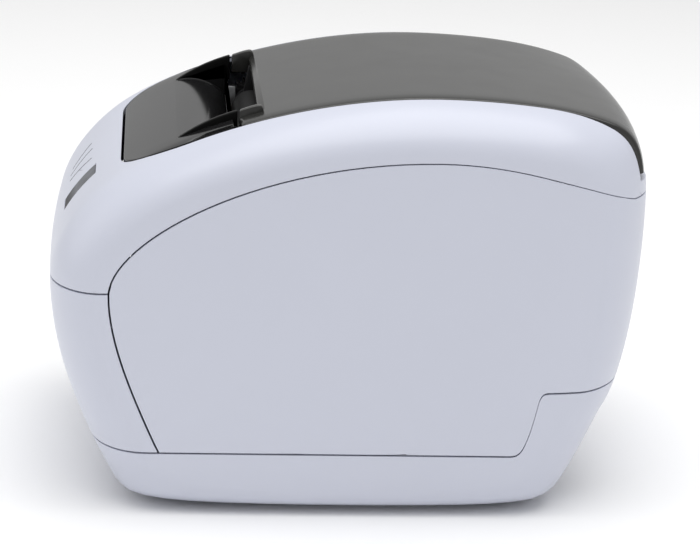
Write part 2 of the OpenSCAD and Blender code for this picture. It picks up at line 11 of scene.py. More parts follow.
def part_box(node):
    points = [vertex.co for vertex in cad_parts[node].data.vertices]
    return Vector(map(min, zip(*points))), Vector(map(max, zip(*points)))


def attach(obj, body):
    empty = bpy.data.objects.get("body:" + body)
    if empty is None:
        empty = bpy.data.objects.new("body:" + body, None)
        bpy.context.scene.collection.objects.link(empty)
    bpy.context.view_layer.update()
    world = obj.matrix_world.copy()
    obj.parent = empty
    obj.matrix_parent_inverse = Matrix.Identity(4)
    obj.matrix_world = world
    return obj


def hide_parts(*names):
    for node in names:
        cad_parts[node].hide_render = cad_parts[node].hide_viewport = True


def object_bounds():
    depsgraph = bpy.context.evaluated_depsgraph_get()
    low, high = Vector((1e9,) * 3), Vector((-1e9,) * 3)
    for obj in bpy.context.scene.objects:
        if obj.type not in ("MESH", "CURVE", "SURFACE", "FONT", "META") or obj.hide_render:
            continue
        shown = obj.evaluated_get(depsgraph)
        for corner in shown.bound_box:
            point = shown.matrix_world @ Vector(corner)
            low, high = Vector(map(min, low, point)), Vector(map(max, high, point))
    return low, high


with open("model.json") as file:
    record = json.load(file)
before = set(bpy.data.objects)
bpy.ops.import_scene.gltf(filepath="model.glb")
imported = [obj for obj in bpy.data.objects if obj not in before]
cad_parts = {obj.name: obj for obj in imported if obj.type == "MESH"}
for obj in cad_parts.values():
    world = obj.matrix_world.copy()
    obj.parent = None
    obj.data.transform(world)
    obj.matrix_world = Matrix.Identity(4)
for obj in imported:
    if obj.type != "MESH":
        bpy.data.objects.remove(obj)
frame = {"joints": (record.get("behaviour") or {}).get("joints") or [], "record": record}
CAD_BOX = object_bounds()

bl_info = {
    "name": "Label Printer Builder",
    "version": (1, 0, 0),
    "blender": (4, 5, 0),
    "location": "3D View > Sidebar > Label Printer",
    "description": "Builds the shells, lid, mechanism and finishes of a desktop label printer",
    "category": "Add Mesh",
}

MM = 0.001
LOW, HIGH = CAD_BOX
FRONT_Y, REAR_Y = LOW.y, HIGH.y
HALF_WIDTH = HIGH.x
HINGE = Vector(next(j["pos_m"] for j in frame["joints"] if j["name"] == "lid_hinge"))


# ---------------------------------------------------------------- settings
def length(name, description, default, low=0.0, high=1.0):
    return bpy.props.FloatProperty(
        name=name, description=description, default=default, min=low, max=high,
        subtype="DISTANCE", unit="LENGTH",
    )


def tint(name, description, default):
    return bpy.props.FloatVectorProperty(
        name=name, description=description, default=default, size=4, min=0.0, max=1.0, subtype="COLOR"
    )


class CasingSizes(bpy.types.PropertyGroup):
    """Sizes of the moulded shells"""

    wall: length("Wall", "Thickness of the shells", 2.4 * MM)
    seam: length("Seam", "Gap between neighbouring shells", 0.6 * MM)
    edge: length("Edge round", "Rounding of a shell's edges", 0.2 * MM)
    shoulder_width: length("Shoulder width", "Width of the rounded shoulder", 28 * MM)
    shoulder_depth: length("Shoulder depth", "Depth of the rounded shoulder", 18 * MM)
    rear_taper: bpy.props.FloatProperty(
        name="Rear taper", description="Share of the width lost at the rear", default=0.075, min=0.0, max=0.2
    )
    rear_crown: length("Rear crown", "Bulge of the rear wall in plan", 2.2 * MM)
    front_crown: length("Front crown", "Bulge of the front in plan", 1.2 * MM)
    bottom_round: length("Bottom round", "Rounding of the lower edge", 6 * MM)


class LidSizes(bpy.types.PropertyGroup):
    """Sizes of the lid and the exit slot"""

    half: length("Half width", "Half of the lid's width", 67 * MM)
    skin: length("Skin", "Thickness of the lid", 2.6 * MM)
    front: bpy.props.FloatProperty(
        name="Front edge", description="Place of the lid's front edge", default=-35 * MM
    )
    lobe_front: bpy.props.FloatProperty(
        name="Lobes", description="Place of the front edge beside the exit slot", default=-42.2 * MM
    )
    rear_crown: length("Rear crown", "Bulge of the rear edge in plan", 4.2 * MM)
    trough_half: length("Trough half width", "Half of the exit trough's width", 52 * MM)
    slot_front: bpy.props.FloatProperty(
        name="Slot", description="Place of the front panel's rear edge", default=-44.6 * MM
    )


class FinishColours(bpy.types.PropertyGroup):
    """Colours of the finishes"""

    shell: tint("Shell", "Moulded white casing", (0.59, 0.61, 0.70, 1.0))
    smoke: tint("Smoked lid", "Dark smoked lid", (0.023, 0.023, 0.0215, 1.0))
    gloss_black: tint("Gloss black", "Front panel", (0.012, 0.012, 0.0125, 1.0))
    key: tint("Key", "Feed button", (0.15, 0.155, 0.17, 1.0))


class StageSettings(bpy.types.PropertyGroup):
    """Camera and light of the stage"""

    lens: bpy.props.FloatProperty(
        name="Lens", description="Focal length in millimetres", default=144.0, min=20.0
    )
    floor: tint("Floor", "Colour of the floor", (0.97, 0.97, 0.97, 1.0))


# ---------------------------------------------------------------- outline of the casing
def bezier(a, b, c, d, steps):
    """Points along a cubic curve, ends included."""
    points = []
    for i in range(steps + 1):
        t = i / steps
        u = 1 - t
        points.append(
            Vector(a) * u**3 + Vector(b) * 3 * u * u * t + Vector(c) * 3 * u * t * t + Vector(d) * t**3
        )
    return points


def joined(*curves):
    """Curves that share their end points, as one list."""
    points = list(curves[0])
    for curve in curves[1:]:
        points += curve[1:]
    return points


def mm(*pairs):
    return [Vector((y * MM, z * MM)) for y, z in pairs]


CROWN_Z = HIGH.z / MM
FRONT = FRONT_Y / MM
REAR = REAR_Y / MM


def nose_curve(steps=16):
    return bezier(*mm((FRONT, 84.3), (FRONT, 100), (-99, 115.4), (-85.5, 124.2)), steps)


def top_curve(steps=24):
    return bezier(*mm((-85.5, 124.2), (-61, 139.8), (-15, CROWN_Z), (30, CROWN_Z)), steps)


def lid_top_curve(steps=20):
    return bezier(*mm((30, CROWN_Z), (56, CROWN_Z), (84, 151.5), (99, 146.2)), steps)


def lid_back_curve(steps=16):
    return bezier(*mm((99, 146.2), (107, 142.8), (REAR - 0.6, 138), (REAR, 118)), steps)


def casing_outline():
    """Closed side outline of the casing, running on below the table so that the bottom can be cut flat."""
    back = bezier(*mm((REAR, 118), (REAR, 85), (108, 48), (98.5, 36)), 18)
    heel = bezier(*mm((98.5, 36), (92, 24), (86, 11), (78, 2.5)), 8)
    keel = bezier(*mm((78, 2.5), (68, -14), (-70, -14), (-84, 2.5)), 16)
    toe = bezier(*mm((-84, 2.5), (-99, 27), (FRONT, 55), (FRONT, 84.3)), 18)
    return joined(nose_curve(), top_curve(), lid_top_curve(), lid_back_curve(), back, heel, keel, toe)[:-1]


def height_at(y, curve=None):
    """Height of the casing's top at a distance y behind the origin."""
    points = curve or joined(nose_curve(), top_curve(), lid_top_curve(), lid_back_curve())
    for a, b in zip(points, points[1:]):
        if a.x <= y <= b.x:
            return a.y + (b.y - a.y) * (y - a.x) / (b.x - a.x)
    return points[-1].y


# ---------------------------------------------------------------- mesh helpers
def smoothstep(low, high, value):
    t = min(1.0, max(0.0, (value - low) / (high - low)))
    return t * t * (3 - 2 * t)


def new_object(name, bm):
    """A mesh object at the origin made from a bmesh, which is freed."""
    mesh = bpy.data.meshes.new(name)
    bm.to_mesh(mesh)
    bm.free()
    piece = bpy.data.objects.new(name, mesh)
    bpy.context.scene.collection.objects.link(piece)
    return piece


# Distance within which the two halves of a mirrored mesh are welded
WELD = 0.001 * MM


def everything(bm):
    return list(bm.verts) + list(bm.edges) + list(bm.faces)


def prism(name, outline, x_low, x_high):
    """A closed bar across the casing whose section is an outline in (y, z)."""
    bm = bmesh.new()
    face = bm.faces.new([bm.verts.new((x_low, p.x, p.y)) for p in outline])
    made = bmesh.ops.extrude_face_region(bm, geom=[face])
    bmesh.ops.translate(
        bm, vec=(x_high - x_low, 0, 0), verts=[v for v in made["geom"] if isinstance(v, bmesh.types.BMVert)]
    )
    bmesh.ops.recalc_face_normals(bm, faces=bm.faces)
    return new_object(name, bm)


def column(name, outline, z_low, z_high):
    """A closed upright bar whose section is an outline in (x, y)."""
    bm = bmesh.new()
    face = bm.faces.new([bm.verts.new((p.x, p.y, z_low)) for p in outline])
    made = bmesh.ops.extrude_face_region(bm, geom=[face])
    bmesh.ops.translate(
        bm, vec=(0, 0, z_high - z_low), verts=[v for v in made["geom"] if isinstance(v, bmesh.types.BMVert)]
    )
    bmesh.ops.recalc_face_normals(bm, faces=bm.faces)
    return new_object(name, bm)


def block(name, size, place):
    """A box of the given size, set in place by a matrix."""
    bm = bmesh.new()
    bmesh.ops.create_cube(bm, size=1.0)
    bmesh.ops.scale(bm, vec=size, verts=bm.verts)
    bmesh.ops.transform(bm, matrix=place, verts=bm.verts)
    return new_object(name, bm)


def baked(piece):
    """Replaces a piece's mesh with what its modifiers make of it."""
    graph = bpy.context.evaluated_depsgraph_get()
    graph.update()
    mesh = bpy.data.meshes.new_from_object(
        piece.evaluated_get(graph), preserve_all_data_layers=True, depsgraph=graph
    )
    piece.modifiers.clear()
    old = piece.data
    piece.data = mesh
    bpy.data.meshes.remove(old)
    return piece


def carve(piece, cutter, operation):
    """Cuts a piece with another object, which is used up."""
    change = piece.modifiers.new("carve", "BOOLEAN")
    change.operation = operation
    change.solver = "EXACT"
    change.material_mode = "INDEX"
    change.object = cutter
    baked(piece)
    bpy.data.objects.remove(cutter)
    return piece


def joined_with(piece, other):
    """Merges another closed piece into this one."""
    return carve(piece, other, "UNION")


def duplicate(piece, name):
    copy = bpy.data.objects.new(name, piece.data.copy())
    bpy.context.scene.collection.objects.link(copy)
    return copy


MERGE = 0.12 * MM


def finished(piece, body, material, replaces=(), edge=0.0, angle=35.0, segments=2, clamp=False):
    """Puts a piece on its body with its finish, smooth shading and softly rounded edges."""
    bm = bmesh.new()
    bm.from_mesh(piece.data)
    bmesh.ops.remove_doubles(bm, verts=bm.verts, dist=MERGE)
    bmesh.ops.dissolve_degenerate(bm, edges=bm.edges, dist=0.002 * MM)
    for face in bm.faces:
        face.smooth = True
        face.material_index = 0
    bm.to_mesh(piece.data)
    bm.free()
    piece.data.materials.clear()
    piece.data.materials.append(material)
    if edge:
        bevel = piece.modifiers.new("edge", "BEVEL")
        bevel.width = edge
        bevel.segments = segments
        bevel.limit_method = "ANGLE"
        bevel.angle_limit = math.radians(angle)
        bevel.harden_normals = True
        bevel.use_clamp_overlap = clamp
        bevel.miter_outer = "MITER_ARC"
    else:
        piece.data.set_sharp_from_angle(angle=math.radians(angle))
    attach(piece, body)
    if replaces:
        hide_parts(*replaces)
    return piece


# ---------------------------------------------------------------- casing
SPINE = Vector((0.0, 0.0, 75 * MM))
PLATEAU = 60 * MM


def casing_blank(name, sizes):
    """The whole casing as one closed, rounded solid."""
    bm = bmesh.new()
    ring = [bm.verts.new((0, p.x, p.y)) for p in casing_outline()]
    edges = [bm.edges.new((a, b)) for a, b in zip(ring, ring[1:] + ring[:1])]
    plateau_steps, shoulder_steps = 6, 14

    def swept(edges, x_step, depth_step):
        made = bmesh.ops.extrude_edge_only(bm, edges=edges)["geom"]
        verts = [g for g in made if isinstance(g, bmesh.types.BMVert)]
        bmesh.ops.translate(bm, vec=(x_step, 0, 0), verts=verts)
        if depth_step:
            scale_y = 1 - depth_step[0] / (REAR_Y - depth_step[1])
            scale_z = 1 - depth_step[0] / (HIGH.z - SPINE.z - depth_step[1])
            centre = Matrix.Translation(-SPINE)
            bmesh.ops.scale(bm, vec=(1, scale_y, scale_z), space=centre, verts=verts)
        return [g for g in made if isinstance(g, bmesh.types.BMEdge)]

    for _ in range(plateau_steps):
        edges = swept(edges, PLATEAU / plateau_steps, None)
    x_done, depth_done = 0.0, 0.0
    for i in range(1, shoulder_steps + 1):
        a = math.radians(90) * i / shoulder_steps
        x, depth = sizes.shoulder_width * math.sin(a), sizes.shoulder_depth * (1 - math.cos(a))
        edges = swept(edges, x - x_done, (depth - depth_done, depth_done))
        x_done, depth_done = x, depth
    # the flat side closes in rings, so that it can bend with the plan
    side_rings = 8
    for i in range(side_rings):
        made = bmesh.ops.extrude_edge_only(bm, edges=edges)["geom"]
        verts = [g for g in made if isinstance(g, bmesh.types.BMVert)]
        shrink = (side_rings - i - 0.9) / (side_rings - i)
        bmesh.ops.scale(bm, vec=(1, shrink, shrink), space=Matrix.Translation(-SPINE), verts=verts)
        edges = [g for g in made if isinstance(g, bmesh.types.BMEdge)]
    bmesh.ops.holes_fill(bm, edges=edges, sides=0)
    bmesh.ops.mirror(bm, geom=everything(bm), axis="X", merge_dist=WELD)
    bmesh.ops.remove_doubles(bm, verts=bm.verts, dist=WELD)
    shape_plan(bm, sizes)
    bottom, turn_up = 2.5 * MM, sizes.bottom_round
    heights = [bottom + turn_up * (1 - math.cos(math.radians(a))) for a in (90, 75, 60, 45, 30, 18, 8)]
    for height in heights:
        slice_at(bm, height, False)
    cut = slice_at(bm, bottom, True)
    bmesh.ops.holes_fill(bm, edges=[g for g in cut if isinstance(g, bmesh.types.BMEdge)], sides=0)
    for v in bm.verts:
        below = max(0.0, (bottom + turn_up - v.co.z) / turn_up)
        inward = turn_up * (1 - math.sqrt(max(0.0, 1 - below * below)))
        v.co.x *= 1 - inward / HALF_WIDTH
        v.co.y -= (v.co.y + 3 * MM) * inward / (80 * MM)
    bmesh.ops.recalc_face_normals(bm, faces=bm.faces)
    return new_object(name, bm)


def slice_at(bm, height, clear):
    """Cuts the mesh level at a height, and clears what is below if asked."""
    geometry = list(bm.verts) + list(bm.edges) + list(bm.faces)
    return bmesh.ops.bisect_plane(
        bm, geom=geometry, plane_co=(0, 0, height), plane_no=(0, 0, -1), clear_outer=clear
    )["geom_cut"]


def shape_plan(bm, sizes):
    """Tapers the rear in plan and bulges the front and rear walls."""
    for v in bm.verts:
        across = min(1.0, abs(v.co.x) / HALF_WIDTH)
        rear = smoothstep(70 * MM, REAR_Y, v.co.y)
        high_rear = rear * smoothstep(100 * MM, 150 * MM, v.co.z)
        v.co.y -= rear * sizes.rear_crown * (across / 0.72) ** 2
        v.co.y += smoothstep(-70 * MM, FRONT_Y, v.co.y) * sizes.front_crown * (across / 0.72) ** 2
        v.co.x *= 1 - sizes.rear_taper * (rear + 0.6 * high_rear)


def seam_curves(gap):
    """The seams between the shells as seen from the side, each as (y, z) points."""
    arc_front = bezier(*mm((-89, 84.3), (-88, 104), (-36, 134.6), (30, 134.6)), 28)
    arc_rear = bezier(*mm((30, 134.6), (60, 134.6), (84, 125.5), (103, 119.6)), 18)
    door = bezier(*mm((-89, 84.3), (-89, 66), (-79, 44), (-70, 24.2)), 16)
    ramp = joined(
        mm((-200, 24.2), (60, 24.2)),
        bezier(*mm((60, 24.2), (64, 24.2), (65, 29), (66.7, 34)), 6),
        bezier(*mm((66.7, 34), (68, 39), (68.4, 41), (69.2, 45)), 3),
        bezier(*mm((69.2, 45), (69.9, 47.6), (70.6, 48.8), (73, 48.8)), 5),
        mm((73, 48.8), (200, 48.8)),
    )
    return joined(arc_front, arc_rear), door, ramp


def shifted(points, dy, dz):
    return [p + Vector((dy, dz)) for p in points]


def shell_regions(gap):
    """Outline in (y, z) of the region that each shell takes of the casing."""
    arc, door, ramp = seam_curves(gap)
    far, floor, sky = 200 * MM, -20 * MM, 220 * MM
    front, half = Vector((-far, 0)), gap / 2
    split = 84.3 * MM
    base = shifted(ramp, 0, -half) + [Vector((far, floor)), Vector((-far, floor))]
    cover_door = [p for p in shifted(door, -half, -half) if p.y > 24.2 * MM + half]
    cover = [Vector((-far, split - half))] + cover_door + [
        Vector((door[-1].x - half * 1.2, 24.2 * MM + half)), Vector((-far, 24.2 * MM + half))
    ]
    top = [Vector((-far, split + half)), Vector((-89 * MM - half, split + half))]
    top += [p for p in shifted(arc, -half * 0.7, half * 0.7) if p.x > -89 * MM - half and p.y > split + half]
    top += [Vector((far, 119.6 * MM + half)), Vector((far, sky)), Vector((-far, sky))]
    body_door = [p for p in shifted(door, half, 0)][::-1]
    body_ramp = [p for p in shifted(ramp, 0, half) if p.x > body_door[0].x + gap]
    body_arc = [p for p in shifted(arc, half * 0.7, -half * 0.7) if p.x > body_door[-1].x + gap]
    body = [Vector((body_door[0].x, 24.2 * MM + half))] + body_door[1:] + body_arc
    body += [Vector((far, 119.6 * MM - half)), Vector((far, 48.8 * MM + half))] + body_ramp[::-1][1:]
    return {"base": base, "cover": cover, "top": top, "body": body}


def opening_outline(half, grow, front, rear):
    """Plan in (x, y) of the opening that the front panel and the lid fill."""
    edge, nose = half + grow, -85 * MM - grow
    corner = bezier(
        (edge, -59 * MM), (edge, -74 * MM), (59 * MM + grow * 0.5, nose), (41 * MM, nose), 14
    )
    corner = [p for p in corner if p.y < front or front < nose]
    side = [Vector((edge, rear))] + corner
    return side + [Vector((-p.x, p.y)) for p in side[::-1]]


def core_of(blank, wall):
    """The blank drawn in by the wall's thickness."""
    core = duplicate(blank, "core")
    bm = bmesh.new()
    bm.from_mesh(core.data)
    bm.normal_update()
    shift = [v.normal * -wall for v in bm.verts]
    for v, step in zip(bm.verts, shift):
        v.co += step
    bm.to_mesh(core.data)
    bm.free()
    return core


def across_all(name, outline, half=None):
    reach = half or HALF_WIDTH * 1.2
    return prism(name, outline, -reach, reach)


def shell(name, blank, region, cuts):
    """One shell of the casing: its share of the blank less the given solids."""
    piece = duplicate(blank, name)
    carve(piece, across_all("region", region), "INTERSECT")
    for cut in cuts:
        carve(piece, cut, "DIFFERENCE")
    return piece


def opening_solid(lid, grow, z_low=100 * MM):
    """What the front panel and the lid take out of the casing, grown by the seam."""
    plan = opening_outline(lid.half, grow, 0, 72 * MM)
    solid = column("opening", plan, z_low, 200 * MM)
    rear = block(
        "rear_opening", (2 * (lid.half + grow), 100 * MM, 60 * MM),
        Matrix.Translation((0, 115 * MM, 30 * MM + REAR_WALL_TOP)),
    )
    return joined_with(solid, rear)


REAR_WALL_TOP = 124.9 * MM
BAY_HALF, BAY_Y, BAY_TOP = 62 * MM, 76 * MM, 34 * MM


class LABEL_PRINTER_OT_casing(bpy.types.Operator):
    """Builds the four white shells of the casing"""

    bl_idname = "label_printer.casing"
    bl_label = "Casing shells"

    def execute(self, context):
        sizes, lid = context.scene.casing_sizes, context.scene.lid_sizes
        white = moulded_white(context.scene.finish_colours.shell)
        blank = casing_blank("casing_blank", sizes)
        core = core_of(blank, sizes.wall)
        regions = shell_regions(sizes.seam)

        bay = block(
            "bay", (2 * BAY_HALF, 80 * MM, 2 * BAY_TOP), Matrix.Translation((0, BAY_Y + 40 * MM, 0)))
        bay_walls = block(
            "bay_walls", (2 * (BAY_HALF + sizes.wall), 80 * MM, 2 * (BAY_TOP + sizes.wall)),
            Matrix.Translation((0, BAY_Y - sizes.wall + 40 * MM, 0)))
        base_core = carve(duplicate(core, "base_core"), bay_walls, "DIFFERENCE")
        base = shell("base_shell", blank, regions["base"], [base_core, bay])
        for hole in socket_holes():
            carve(base, hole, "DIFFERENCE")
        for x in (-60, 60):
            for y in (-62, 46):
                foot = round_bar("foot_seat", 7.3 * MM, 3.4 * MM, Vector((x, y, 1.7)) * MM, "Z")
                carve(base, foot, "DIFFERENCE")
        finished(base, "casing", white, ["base_housing"], sizes.edge)

        for name, key, node in (
            ("body_shell", "body", "body_housing"), ("front_cover_shell", "cover", "front_cover"),
        ):
            piece = shell(name, blank, regions[key], [duplicate(core, "core")])
            finished(piece, "casing", white, [node], sizes.edge)

        top_cuts = [duplicate(core, "core"), opening_solid(lid, sizes.seam)]
        top = shell("top_shell", blank, regions["top"], top_cuts)
        carve_controls(top)
        finished(top, "casing", white, ["top_housing"], sizes.edge)
        for spare in (blank, core):
            bpy.data.objects.remove(spare)
        return {"FINISHED"}


def socket_holes():
    """Cut-outs in the bay's wall for the USB socket, the power jack and the power switch."""
    holes = []
    for node, margin in (("usb_socket", 0.3 * MM), ("power_switch", -1.3 * MM)):
        low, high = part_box(node)
        middle = (Vector(low) + Vector(high)) / 2
        size = (high[0] - low[0] + 2 * margin, 12 * MM, high[2] - low[2] + 2 * margin)
        holes.append(block("hole", size, Matrix.Translation((middle.x, BAY_Y, middle.z))))
    low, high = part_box("dc_jack")
    middle = Vector(((low[0] + high[0]) / 2, BAY_Y, 16 * MM))
    holes.append(round_bar("hole", 4.3 * MM, 12 * MM, middle, "Y"))
    return holes


FACE_TILT = math.radians(50)
FACE = Matrix.Translation((0, -101.6 * MM, 109.7 * MM)) @ Matrix.Rotation(FACE_TILT, 4, "X")
# Place along X in millimetres and lean in degrees of each status light
LIGHTS = ((-24, 36), (-13.5, 18), (-0.5, -18))
LIGHT_WIDTH, LIGHT_LENGTH, KEY_LENGTH, CUT_DEPTH = 0.85 * MM, 13.8 * MM, 18 * MM, 16 * MM


def carve_controls(top):
    """Cuts the slots for the status lights and the feed button."""
    for x, lean in LIGHTS:
        place = FACE @ Matrix.Translation((x * MM, 0, 0)) @ Matrix.Rotation(math.radians(lean), 4, "Z")
        size = (LIGHT_WIDTH + 0.1 * MM, LIGHT_LENGTH + 0.2 * MM, CUT_DEPTH)
        carve(top, block("slot", size, place), "DIFFERENCE")
    low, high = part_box("feed_button")
    place = FACE @ Matrix.Translation(((low.x + high.x) / 2, 0, 0))
    slot = block("slot", (high.x - low.x + 0.6 * MM, KEY_LENGTH + 0.8 * MM, CUT_DEPTH), place)
    carve(top, slot, "DIFFERENCE")


def round_bar(name, radius, depth, middle, axis, segments=48):
    """A closed cylinder along X, Y or Z."""
    turn = {"X": Matrix.Rotation(math.radians(90), 4, "Y"), "Y": Matrix.Rotation(math.radians(90), 4, "X"),
            "Z": Matrix.Identity(4)}[axis]
    bm = bmesh.new()
    bmesh.ops.create_cone(
        bm, cap_ends=True, segments=segments, radius1=radius, radius2=radius, depth=depth,
        matrix=Matrix.Translation(middle) @ turn,
    )
    return new_object(name, bm)


# ---------------------------------------------------------------- front panel and exit slot
def roll_curve():
    start = -65 * MM
    return bezier(
        (start, height_at(start)), (-58 * MM, 137.3 * MM), (-51 * MM, 135.4 * MM), (-44.6 * MM, 130 * MM), 18)


def inset_line(points, depth):
    """An outline that runs from front to rear, moved into the casing."""
    moved = []
    for i, p in enumerate(points):
        along = (points[min(i + 1, len(points) - 1)] - points[max(i - 1, 0)]).normalized()
        moved.append(p + Vector((along.y, -along.x)) * depth)
    return moved


def rounded_bar(name, outline, x_low, x_high, radius, segments=3):
    """A prism across the casing whose edges are all rounded."""
    piece = prism(name, outline, x_low, x_high)
    bm = bmesh.new()
    bm.from_mesh(piece.data)
    sharp = [e for e in bm.edges if e.calc_face_angle(0) > math.radians(30)]
    bmesh.ops.bevel(
        bm, geom=sharp, offset=radius, offset_type="OFFSET", segments=segments, profile=0.5,
        affect="EDGES", material=-1, clamp_overlap=True,
    )
    bm.to_mesh(piece.data)
    bm.free()
    return piece


class LABEL_PRINTER_OT_front_panel(bpy.types.Operator):
    """Builds the black front panel with its rolled exit trough and fins"""

    bl_idname = "label_printer.front_panel"
    bl_label = "Front panel"

    def execute(self, context):
        sizes, lid = context.scene.casing_sizes, context.scene.lid_sizes
        blank = casing_blank("panel_blank", sizes)
        core = core_of(blank, sizes.wall)
        roll, half = roll_curve(), lid.trough_half
        under, sky = inset_line(roll, 1.6 * MM), 200 * MM
        rear = lid.slot_front + 0.1 * MM
        above_floor = roll + [Vector((rear, sky)), Vector((roll[0].x, sky))]
        above_under = under + [Vector((rear, under[-1].y)), Vector((rear, sky)), Vector((under[0].x, sky))]
        front = column("front", opening_outline(lid.half, -0.45 * MM, 0, 0), 100 * MM, 190 * MM)
        solid = carve(duplicate(blank, "front_panel_skin"), front, "INTERSECT")
        limit = block(
            "limit", (0.3, 0.2, 0.2), Matrix.Translation((0, lid.slot_front - 0.1, 0.15)))
        carve(solid, limit, "INTERSECT")
        wall_x = half + 1.6 * MM
        hollow = carve(core, prism("band", above_under, -wall_x, wall_x), "DIFFERENCE")
        carve(solid, prism("band", above_floor, -half, half), "DIFFERENCE")
        carve(solid, hollow, "DIFFERENCE")
        gloss = gloss_black(context.scene.finish_colours.gloss_black)
        finished(solid, "casing", gloss, ["front_panel"], 0.4 * MM, angle=40)

        start = -65.4 * MM
        fin = [Vector((start, height_at(start) - 0.3 * MM))]
        fin += bezier(
            (start + 2 * MM, height_at(start + 2 * MM) + 0.4 * MM), (-56 * MM, 141 * MM),
            (-50 * MM, 143.6 * MM), (-43 * MM, 145.8 * MM), 10)
        fin += mm((-43, 136), (-56, 134.4))
        fin_black = plastic(
            "fin_black", (0.004, 0.004, 0.004), 0.2, (0.30, 0.40), 900.0, 0.004 * MM, specular=0.05
        )
        for side, name in ((-1, "slot_fin_left"), (1, "slot_fin_right")):
            low, high = sorted((side * half, side * (half + 3 * MM)))
            bar = rounded_bar(name, fin, low, high, 0.6 * MM)
            finished(bar, "casing", fin_black, [])
        bpy.data.objects.remove(blank)
        return {"FINISHED"}


class LABEL_PRINTER_OT_tear_bar(bpy.types.Operator):
    """Builds the toothed tear bar"""

    bl_idname = "label_printer.tear_bar"
    bl_label = "Tear bar"

    def execute(self, context):
        low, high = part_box("tear_bar")
        pitch, teeth = 1.3 * MM, 78
        half = pitch * teeth / 2
        outline = [Vector((-half, -1.2 * MM))]
        for i in range(teeth):
            x = -half + i * pitch
            outline += [Vector((x, 0.55 * MM)), Vector((x + pitch / 2, 1.15 * MM))]
        outline += [Vector((half, 0.55 * MM)), Vector((half, -1.2 * MM))]
        strip = column("tear_bar_strip", outline, -0.25 * MM, 0.25 * MM)
        lean = Matrix.Translation((0, (low[1] + high[1]) / 2 - 0.1 * MM, high[2] - 1.0 * MM))
        strip.data.transform(lean @ Matrix.Rotation(math.radians(52), 4, "X"))
        steel = metal("tear_bar_steel", (0.78, 0.79, 0.80), (0.34, 0.46), 40.0)
        finished(strip, "casing", steel, ["tear_bar"])
        return {"FINISHED"}


# ---------------------------------------------------------------- lid
def lid_profile(lid):
    """The lid's outer line from its rounded front lip over the top to the rolled rear edge."""
    top = [p for p in joined(top_curve(), lid_top_curve(), lid_back_curve())
           if p.x > lid.lobe_front + 1.2 * MM and p.y > 127.4 * MM]
    lip_z = height_at(lid.lobe_front)
    lip = bezier(
        (lid.lobe_front, lip_z - 1.4 * MM), (lid.lobe_front, lip_z - 0.5 * MM),
        (lid.lobe_front + 0.3 * MM, lip_z), top[0], 6)
    return joined(lip, top)


def lid_shell(name, lid, sizes):
    """The lid as a skin: its profile swept across, turned down along both sides."""
    points = lid_profile(lid)
    inward = [b - a for a, b in zip(points, inset_line(points, 1.0))]
    bm = bmesh.new()
    row = bm.verts.layers.int.new("row")
    line = [bm.verts.new((0, p.x, p.y)) for p in points]
    for i, v in enumerate(line):
        v[row] = i
    edges = [bm.edges.new((a, b)) for a, b in zip(line, line[1:])]
    corner, skirt = 1.1 * MM, 7 * MM
    stations = [(x * MM, 0.0) for x in (12, 24, 36, 48, 60, 62, 64)]
    for i in range(6):
        a = math.radians(18 * i)
        stations.append((lid.half - corner + corner * math.sin(a), corner * (1 - math.cos(a))))
    stations += [(lid.half, corner + skirt * f) for f in (0.15, 0.4, 0.7, 1.0)]
    for x, depth in stations:
        made = bmesh.ops.extrude_edge_only(bm, edges=edges)["geom"]
        edges = [g for g in made if isinstance(g, bmesh.types.BMEdge)]
        past = max(0.0, x - PLATEAU) / sizes.shoulder_width
        drop = sizes.shoulder_depth * (1 - math.sqrt(1 - past * past)) + depth
        for v in (g for g in made if isinstance(g, bmesh.types.BMVert)):
            place = points[v[row]] + inward[v[row]] * drop
            v.co = (x, place.x, place.y)
    bmesh.ops.mirror(bm, geom=everything(bm), axis="X", merge_dist=WELD)
    bmesh.ops.remove_doubles(bm, verts=bm.verts, dist=WELD)
    # notch for the exit slot
    notch = lid.trough_half + 3 * MM
    sides = [((x, 0, 0), (1, 0, 0)) for x in (notch, -notch)]
    for place, normal in sides + [((0, lid.front, 0), (0, 1, 0))]:
        bmesh.ops.bisect_plane(bm, geom=everything(bm), plane_co=place, plane_no=normal)
    middles = {f: f.calc_center_median() for f in bm.faces}
    gone = [f for f, middle in middles.items() if abs(middle.x) < notch and middle.y < lid.front]
    bmesh.ops.delete(bm, geom=gone, context="FACES")
    for v in bm.verts:
        back = smoothstep(60 * MM, REAR_Y, v.co.y)
        v.co.y -= back * lid.rear_crown * (v.co.x / lid.half) ** 2
    bmesh.ops.recalc_face_normals(bm, faces=bm.faces)
    if sum(f.normal.z * f.calc_area() for f in bm.faces) < 0:
        bmesh.ops.reverse_faces(bm, faces=bm.faces)
    piece = new_object(name, bm)
    skin = piece.modifiers.new("skin", "SOLIDIFY")
    skin.thickness = lid.skin - 0.6 * MM
    skin.offset = -1.0
    return baked(piece)


